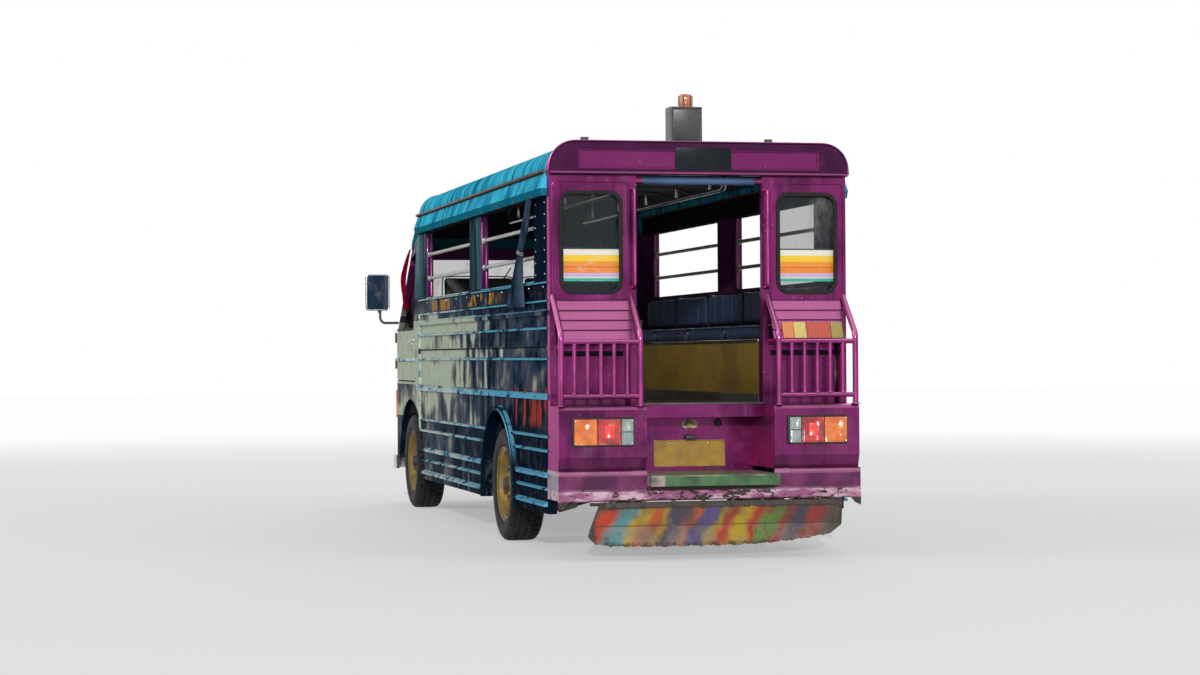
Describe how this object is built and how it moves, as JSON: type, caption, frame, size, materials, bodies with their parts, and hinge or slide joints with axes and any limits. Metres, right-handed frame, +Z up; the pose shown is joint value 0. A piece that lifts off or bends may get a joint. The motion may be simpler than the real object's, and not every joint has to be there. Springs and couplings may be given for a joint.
{
  "type": "jeepney",
  "caption": "Cab-over jeepney with an open rear entrance, side benches, barred windows, moulded steel sides and a curved roof.",
  "frame": {"origin": "on the ground, below the middle of the overall length and width", "axes": "+X forwards, +Y to the vehicle's left, +Z up"},
  "size_m": [5.81, 2.012, 2.422],
  "materials": {
    "purple_paint": "metallic plum paint, faded and dusty",
    "stainless": "polished sheet, streaked",
    "sky_paint": "gloss paint, chalky",
    "chassis_paint": "black paint, rust and mud",
    "cast_grey": "bare, oily",
    "chrome_trim": "polished, pitted",
    "rusty_band": "worn paint over rust",
    "tube_paint": "worn paint over steel tube",
    "red_lens": "moulded lens",
    "amber_lens": "moulded lens",
    "clear_glass": "clear",
    "film_glass": "tinted, striped film on its lower half",
    "lamp_glass": "ribbed",
    "plate_yellow": "blank plate, embossed edge",
    "step_paint": "worn to bare steel",
    "flap_rubber": "painted stripes, dirty",
    "floor_sheet": "scuffed checker sheet",
    "bench_board": "painted yellow",
    "seat_vinyl": "stitched vinyl",
    "cab_vinyl": "stitched vinyl",
    "dark_plastic": "grained",
    "sign_black": "black paint",
    "tarp": "coated cloth",
    "red_cloth": "satin",
    "tyre_rubber": "dusty",
    "rim_paint": "yellow paint, dirt and rust"
  },
  "bodies": {
    "body": {"frame_rails": "chassis_paint", "cross_members": "chassis_paint", "floor_bearers": "chassis_paint", "floor_pan": "floor_sheet", "engine_block": "cast_grey", "fuel_tank": "chassis_paint", "exhaust_pipe": "cast_grey", "front_axle": "cast_grey", "rear_axle": "cast_grey", "side_wall_left": "stainless", "side_wall_right": "stainless", "window_bars": "chrome_trim", "roof_shell": "sky_paint", "rear_header": "purple_paint", "rear_panel_left": "purple_paint", "rear_panel_right": "purple_paint", "lamp_box_left": "purple_paint", "lamp_box_right": "purple_paint", "rear_guards": "tube_paint", "rear_glass": "film_glass", "tail_lamps": "red_lens", "rear_apron": "purple_paint", "marker_lamps": "amber_lens", "number_plate": "plate_yellow", "rear_step": "step_paint", "rear_bumper": "rusty_band", "mud_flap": "flap_rubber", "bench_frames": "bench_board", "bench_pads": "seat_vinyl", "ceiling_rails": "chrome_trim", "entry_rails": "chrome_trim", "side_curtain": "tarp", "roof_sign": "sign_black", "beacon": "amber_lens", "cab_shell": "purple_paint", "cab_roof": "sky_paint", "cab_floor": "chassis_paint", "windscreen": "clear_glass", "dashboard": "dark_plastic", "grille": "chrome_trim", "head_lamps": "lamp_glass", "corner_lamps": "amber_lens", "front_bumper": "chrome_trim", "mirrors": "dark_plastic", "cab_seats": "cab_vinyl"},
    "left_door": {"door_left": "purple_paint", "driver_curtain": "red_cloth"},
    "right_door": {"door_right": "purple_paint"},
    "left_knuckle": {"knuckle_left": "cast_grey"},
    "right_knuckle": {"knuckle_right": "cast_grey"},
    "track_rod": {"tie_rod": "cast_grey"},
    "hand_wheel": {"steering_wheel": "dark_plastic"},
    "front_left_wheel": {"rim_front_left": "rim_paint", "tyre_front_left": "tyre_rubber"},
    "front_right_wheel": {"rim_front_right": "rim_paint", "tyre_front_right": "tyre_rubber"},
    "rear_left_wheel": {"rim_rear_left": "rim_paint", "tyre_rear_left": "tyre_rubber"},
    "rear_right_wheel": {"rim_rear_right": "rim_paint", "tyre_rear_right": "tyre_rubber"}
  },
  "joints": [
    {"name": "front_left_spin", "type": "hinge", "parent": "left_knuckle", "child": "front_left_wheel", "pos_m": [2.115, 0.6975, 0.322], "axis": [0, 1, 0], "continuous": true},
    {"name": "front_right_spin", "type": "hinge", "parent": "right_knuckle", "child": "front_right_wheel", "pos_m": [2.115, -0.6975, 0.322], "axis": [0, 1, 0], "continuous": true},
    {"name": "rear_left_spin", "type": "hinge", "parent": "body", "child": "rear_left_wheel", "pos_m": [-1.235, 0.6975, 0.322], "axis": [0, 1, 0], "continuous": true},
    {"name": "rear_right_spin", "type": "hinge", "parent": "body", "child": "rear_right_wheel", "pos_m": [-1.235, -0.6975, 0.322], "axis": [0, 1, 0], "continuous": true},
    {"name": "left_steer", "type": "hinge", "parent": "body", "child": "left_knuckle", "pos_m": [2.115, 0.566, 0.322], "axis": [0, 0, 1], "range_deg": [-30, 30]},
    {"name": "right_steer", "type": "hinge", "parent": "body", "child": "right_knuckle", "pos_m": [2.115, -0.566, 0.322], "axis": [0, 0, 1], "range_deg": [-30, 30]},
    {"name": "track_rod_pivot", "type": "hinge", "parent": "left_knuckle", "child": "track_rod", "pos_m": [1.94, 0.566, 0.232], "axis": [0, 0, 1], "range_deg": [-30, 30]},
    {"name": "hand_wheel_turn", "type": "hinge", "parent": "body", "child": "hand_wheel", "pos_m": [2.415, 0.38, 1.36], "axis": [-0.5, 0, 0.866], "range_deg": [-480, 480]},
    {"name": "left_door_hinge", "type": "hinge", "parent": "body", "child": "left_door", "pos_m": [2.764, 0.8, 1.2], "axis": [0, 0, 1], "range_deg": [-65, 0]},
    {"name": "right_door_hinge", "type": "hinge", "parent": "body", "child": "right_door", "pos_m": [2.764, -0.8, 1.2], "axis": [0, 0, 1], "range_deg": [0, 65]}
  ],
  "couplings": [
    {"joint": "right_steer", "follows": "left_steer", "ratio": 1},
    {"joint": "track_rod_pivot", "follows": "left_steer", "ratio": -1},
    {"joint": "hand_wheel_turn", "follows": "left_steer", "ratio": 16}
  ]
}
